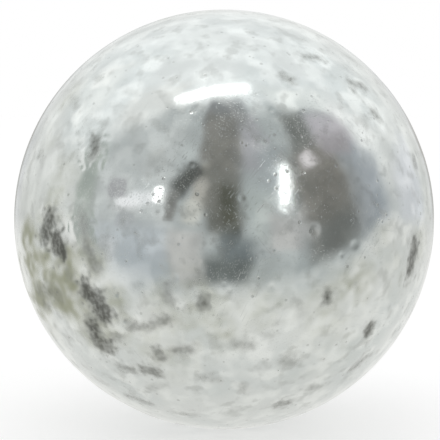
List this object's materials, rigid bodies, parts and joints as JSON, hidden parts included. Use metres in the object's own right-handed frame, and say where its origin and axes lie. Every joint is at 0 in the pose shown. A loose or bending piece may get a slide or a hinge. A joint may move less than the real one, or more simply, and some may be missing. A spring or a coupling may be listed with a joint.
{
  "type": "petanque boule",
  "caption": "Hollow steel petanque boule, smooth and bright: half-shells centred on each other by a stepped lip and joined by a weld ground flush.",
  "frame": {"origin": "centre of the ball, which is also the centre of the weld seam's circle", "axes": "+Z is square to the plane of the weld seam and points to the half-shell whose rim is bored out for the lip. X and Y lie in the seam's plane, and any direction there will do, because the ball is round about Z."},
  "size_m": [0.074, 0.074, 0.074],
  "materials": {
    "shell_steel": "polished and bright, with small dents and fine scratches from play",
    "weld_metal": "ground flush and polished with the shells"
  },
  "bodies": {
    "root": {"upper_half_shell": "shell_steel", "lower_half_shell": "shell_steel", "weld_seam": "weld_metal"}
  },
  "joints": []
}
